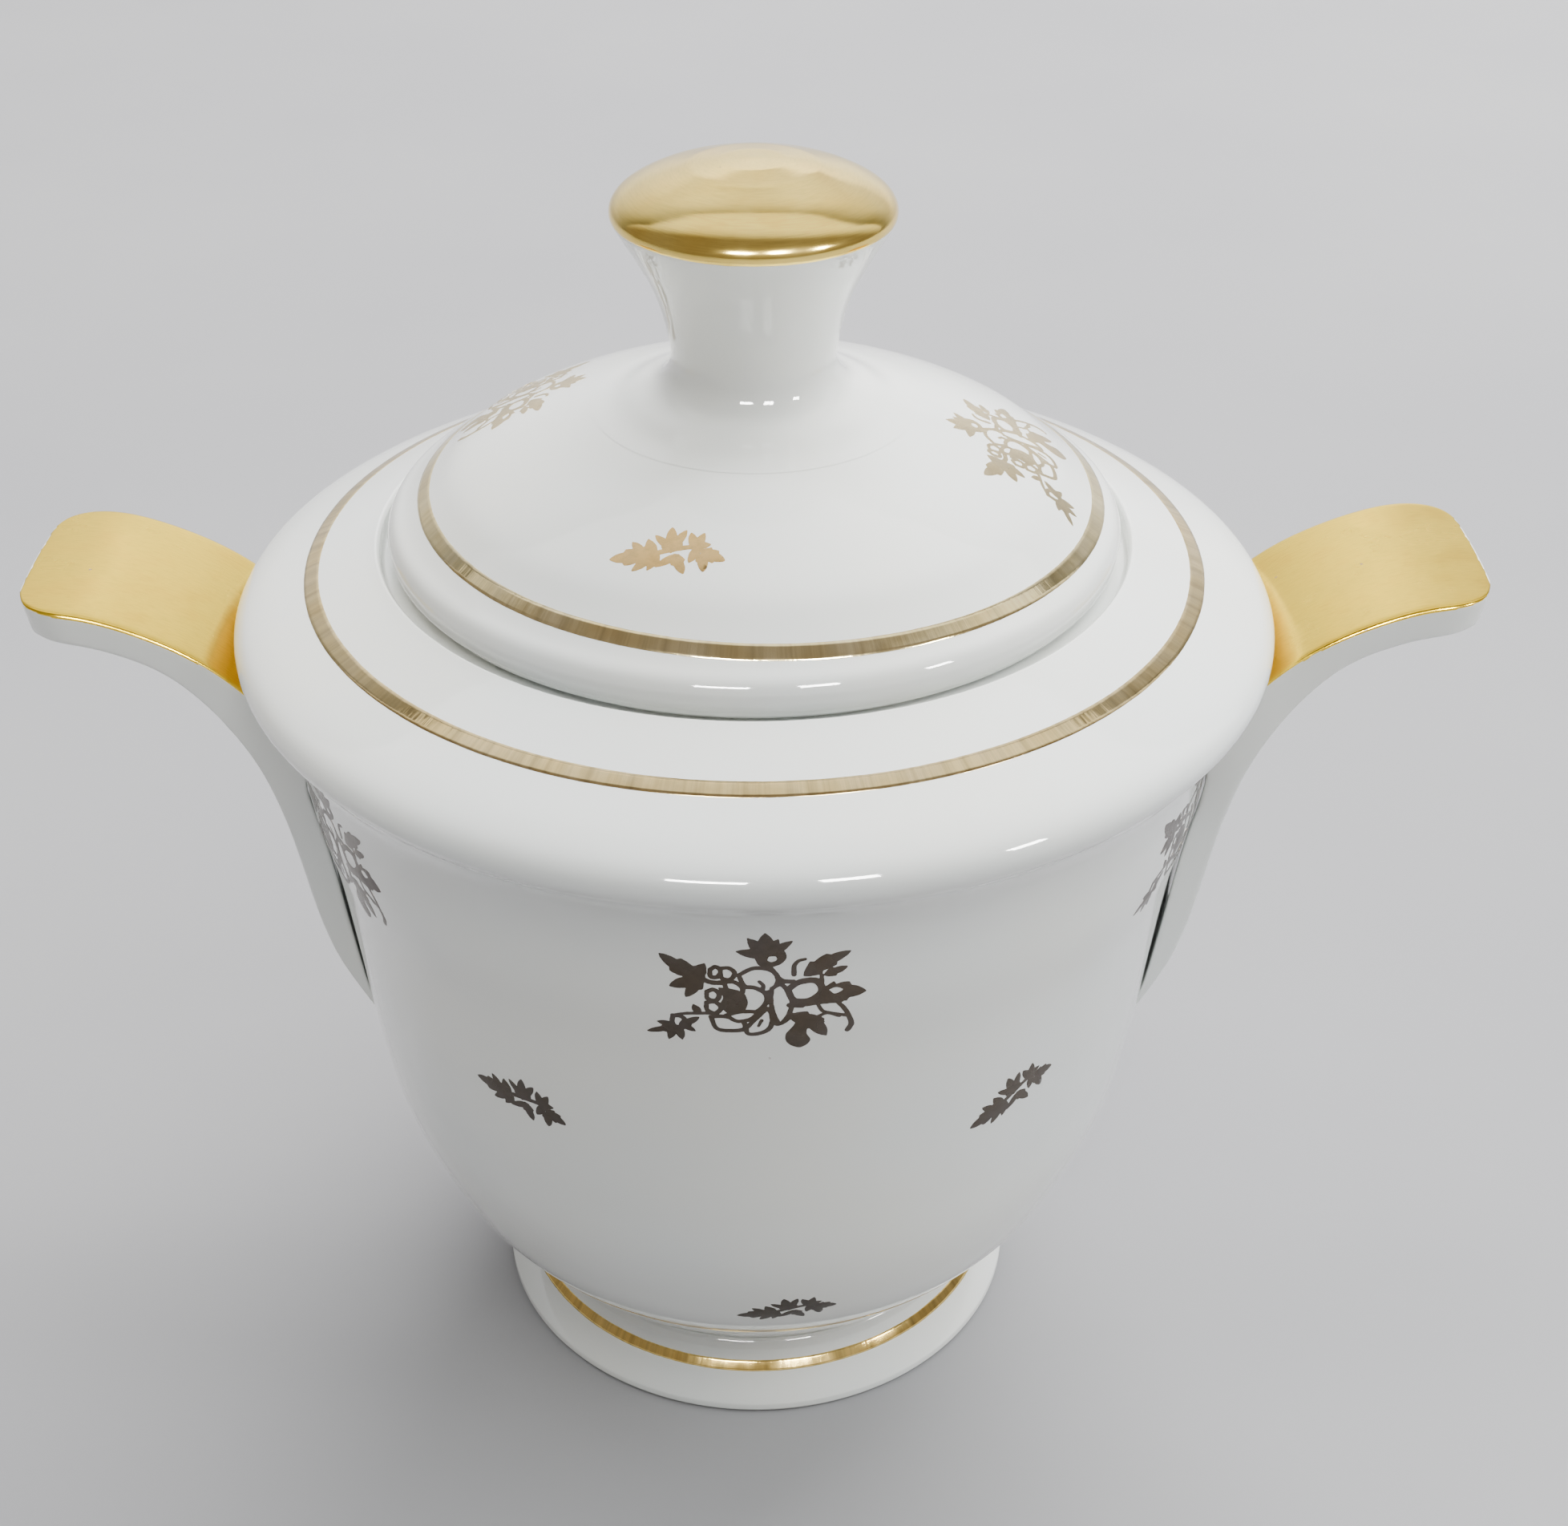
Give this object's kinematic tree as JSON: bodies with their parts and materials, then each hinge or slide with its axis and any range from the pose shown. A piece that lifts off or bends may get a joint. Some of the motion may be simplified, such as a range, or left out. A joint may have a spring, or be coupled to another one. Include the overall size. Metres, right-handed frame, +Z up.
{
  "type": "sugar bowl",
  "caption": "Lidded porcelain sugar bowl on a flared foot, with strap handles at its sides, a recessed lid seat and a trumpet knob; the lid lifts off.",
  "frame": {"origin": "centre of the foot ring's resting face, on the table", "axes": "+Z up along the bowl's turning axis, X through the two handles, -Y towards the front with the main flower motif"},
  "size_m": [0.172, 0.1232, 0.1575],
  "materials": {
    "porcelain": "clear glossy glaze over white porcelain",
    "gilding": "bright fired gold, polished, lightly worn",
    "bisque": "unglazed, ground flat"
  },
  "bodies": {
    "bowl": {"bowl_body": "porcelain", "foot_ring": "porcelain", "handle_left": "porcelain", "handle_right": "porcelain"},
    "lid": {"lid_shell": "porcelain", "lid_collar": "porcelain", "lid_knob": "porcelain"}
  },
  "joints": [
    {"name": "lid_lift", "type": "slide", "parent": "bowl", "child": "lid", "axis": [0, 0, 1], "range_m": [0, 0.06]}
  ]
}
